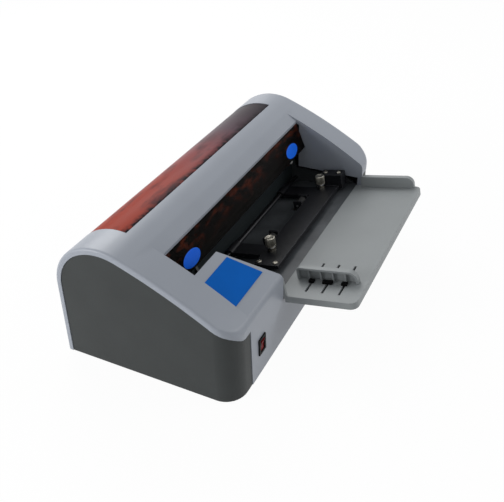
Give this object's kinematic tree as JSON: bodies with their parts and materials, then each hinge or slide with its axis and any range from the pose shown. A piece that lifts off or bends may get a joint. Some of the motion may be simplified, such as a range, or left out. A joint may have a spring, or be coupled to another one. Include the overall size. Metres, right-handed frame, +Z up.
{
  "type": "business card cutter",
  "caption": "Electric desk cutter for business cards: sloping feed tray with side guides, press frame with thumb screws, disc blades, tinted top window, rocker switch and rear card exit.",
  "frame": {"origin": "on the table, under the middle of the bounding box", "axes": "+X along the width to the operator's right, +Y from the feed tray to the rear, +Z up"},
  "size_m": [0.408, 0.291, 0.153],
  "materials": {
    "cover_grey": "moulded cover, fine satin texture, light bluish grey",
    "panel_grey": "moulded end panel, fine texture, dark grey",
    "window_red": "tinted acrylic, polished, dark red",
    "guard_tint": "tinted acrylic strip, dark red-brown",
    "sticker_blue": "plain blue film",
    "plate_blue": "plain blue film on the control block",
    "switch_black": "moulded black plastic",
    "rocker_red": "translucent red plastic",
    "pan_steel": "powder-coated sheet steel",
    "foot_rubber": "moulded rubber",
    "tray_grey": "moulded tray and guides, smooth satin grey",
    "black_sheet": "black painted sheet steel",
    "cast_black": "black satin paint",
    "bright_steel": "ground steel",
    "blade_steel": "hardened steel, ground",
    "nickel": "nickel-plated brass",
    "bronze": "sintered bronze",
    "roller_rubber": "ground rubber",
    "ring_rubber": "rubber rings",
    "gear_nylon": "cast nylon, off-white",
    "motor_zinc": "zinc-plated housing",
    "board_green": "circuit board with its components",
    "copper": "copper-coloured barrel",
    "tip_white": "white plastic"
  },
  "bodies": {
    "body": {"top_cover": "cover_grey", "left_end_panel": "panel_grey", "right_end_panel": "panel_grey", "top_window": "window_red", "guard_strip": "guard_tint", "guard_ovals": "sticker_blue", "control_plate": "plate_blue", "switch_bezel": "switch_black", "base_pan": "pan_steel", "rubber_feet": "foot_rubber", "feed_tray": "tray_grey", "right_guide": "tray_grey", "bed_plate": "black_sheet", "exit_plate": "pan_steel", "left_side_frame": "cast_black", "right_side_frame": "cast_black", "tie_rods": "bright_steel", "blade_cover": "black_sheet", "gear_cover": "black_sheet", "hinge_rod": "bright_steel", "shaft_bushes": "bronze", "idler_stud": "bright_steel", "gear_motor": "motor_zinc", "motor_bracket": "pan_steel", "control_board": "board_green", "power_inlet": "switch_black", "inlet_pins": "nickel", "plunger_barrel": "copper", "plunger_tip": "tip_white", "frame_screws": "bright_steel", "cover_screws": "bright_steel"},
    "rocker": {"rocker_button": "rocker_red"},
    "guide": {"left_guide": "tray_grey", "guide_clamps": "switch_black"},
    "press": {"press_frame": "cast_black", "screw_bushes": "nickel", "screw_springs": "bright_steel", "pinch_pins": "bright_steel"},
    "left_screw": {"left_thumb_screw": "nickel"},
    "right_screw": {"right_thumb_screw": "nickel"},
    "pinch": {"pinch_rollers": "roller_rubber"},
    "feed": {"feed_shaft": "bright_steel", "feed_wheels": "roller_rubber", "feed_gear": "gear_nylon"},
    "lower": {"lower_cutter_shaft": "bright_steel", "lower_blades": "blade_steel", "lower_grip_rings": "ring_rubber", "drive_gear": "gear_nylon"},
    "upper": {"upper_cutter_shaft": "bright_steel", "upper_blades": "blade_steel", "upper_grip_rings": "ring_rubber", "upper_gear": "gear_nylon"},
    "idler": {"idler_gear": "gear_nylon"},
    "pinion": {"motor_pinion": "bronze"}
  },
  "joints": [
    {"name": "rocker_switch", "type": "hinge", "parent": "body", "child": "rocker", "pos_m": [-0.146, -0.06198, 0.039], "axis": [1, 0, 0], "range_deg": [-16, 0]},
    {"name": "guide_slide", "type": "slide", "parent": "body", "child": "guide", "axis": [1, 0, 0], "range_m": [-0.017, 0.035]},
    {"name": "press_lift", "type": "hinge", "parent": "body", "child": "press", "pos_m": [0.055, 0.03296, 0.04818], "axis": [1, 0, 0], "range_deg": [-12, 0]},
    {"name": "left_screw_turn", "type": "hinge", "parent": "press", "child": "left_screw", "pos_m": [-0.018, -0.01933, 0.05172], "axis": [0, 0.1908, 0.9816], "range_deg": [-180, 180]},
    {"name": "right_screw_turn", "type": "hinge", "parent": "press", "child": "right_screw", "pos_m": [0.139, -0.01933, 0.05172], "axis": [0, 0.1908, 0.9816], "range_deg": [-180, 180]},
    {"name": "pinch_turn", "type": "hinge", "parent": "press", "child": "pinch", "pos_m": [0.055, -0.00393, 0.05494], "axis": [1, 0, 0], "continuous": true},
    {"name": "cutter_drive", "type": "hinge", "parent": "body", "child": "lower", "pos_m": [0.0575, 0.06552, 0.02506], "axis": [1, 0, 0], "continuous": true},
    {"name": "upper_turn", "type": "hinge", "parent": "body", "child": "upper", "pos_m": [0.0575, 0.06552, 0.05706], "axis": [1, 0, 0], "continuous": true},
    {"name": "idler_turn", "type": "hinge", "parent": "body", "child": "idler", "pos_m": [-0.108, 0.02939, 0.03347], "axis": [1, 0, 0], "continuous": true},
    {"name": "feed_turn", "type": "hinge", "parent": "body", "child": "feed", "pos_m": [0.0575, -0.00761, 0.036], "axis": [1, 0, 0], "continuous": true},
    {"name": "pinion_turn", "type": "hinge", "parent": "body", "child": "pinion", "pos_m": [-0.13, 0.09461, 0.02506], "axis": [1, 0, 0], "continuous": true}
  ],
  "couplings": [
    {"joint": "upper_turn", "follows": "cutter_drive", "ratio": -1},
    {"joint": "idler_turn", "follows": "cutter_drive", "ratio": -0.75862},
    {"joint": "feed_turn", "follows": "cutter_drive", "ratio": 1},
    {"joint": "pinion_turn", "follows": "cutter_drive", "ratio": -1.2222}
  ]
}
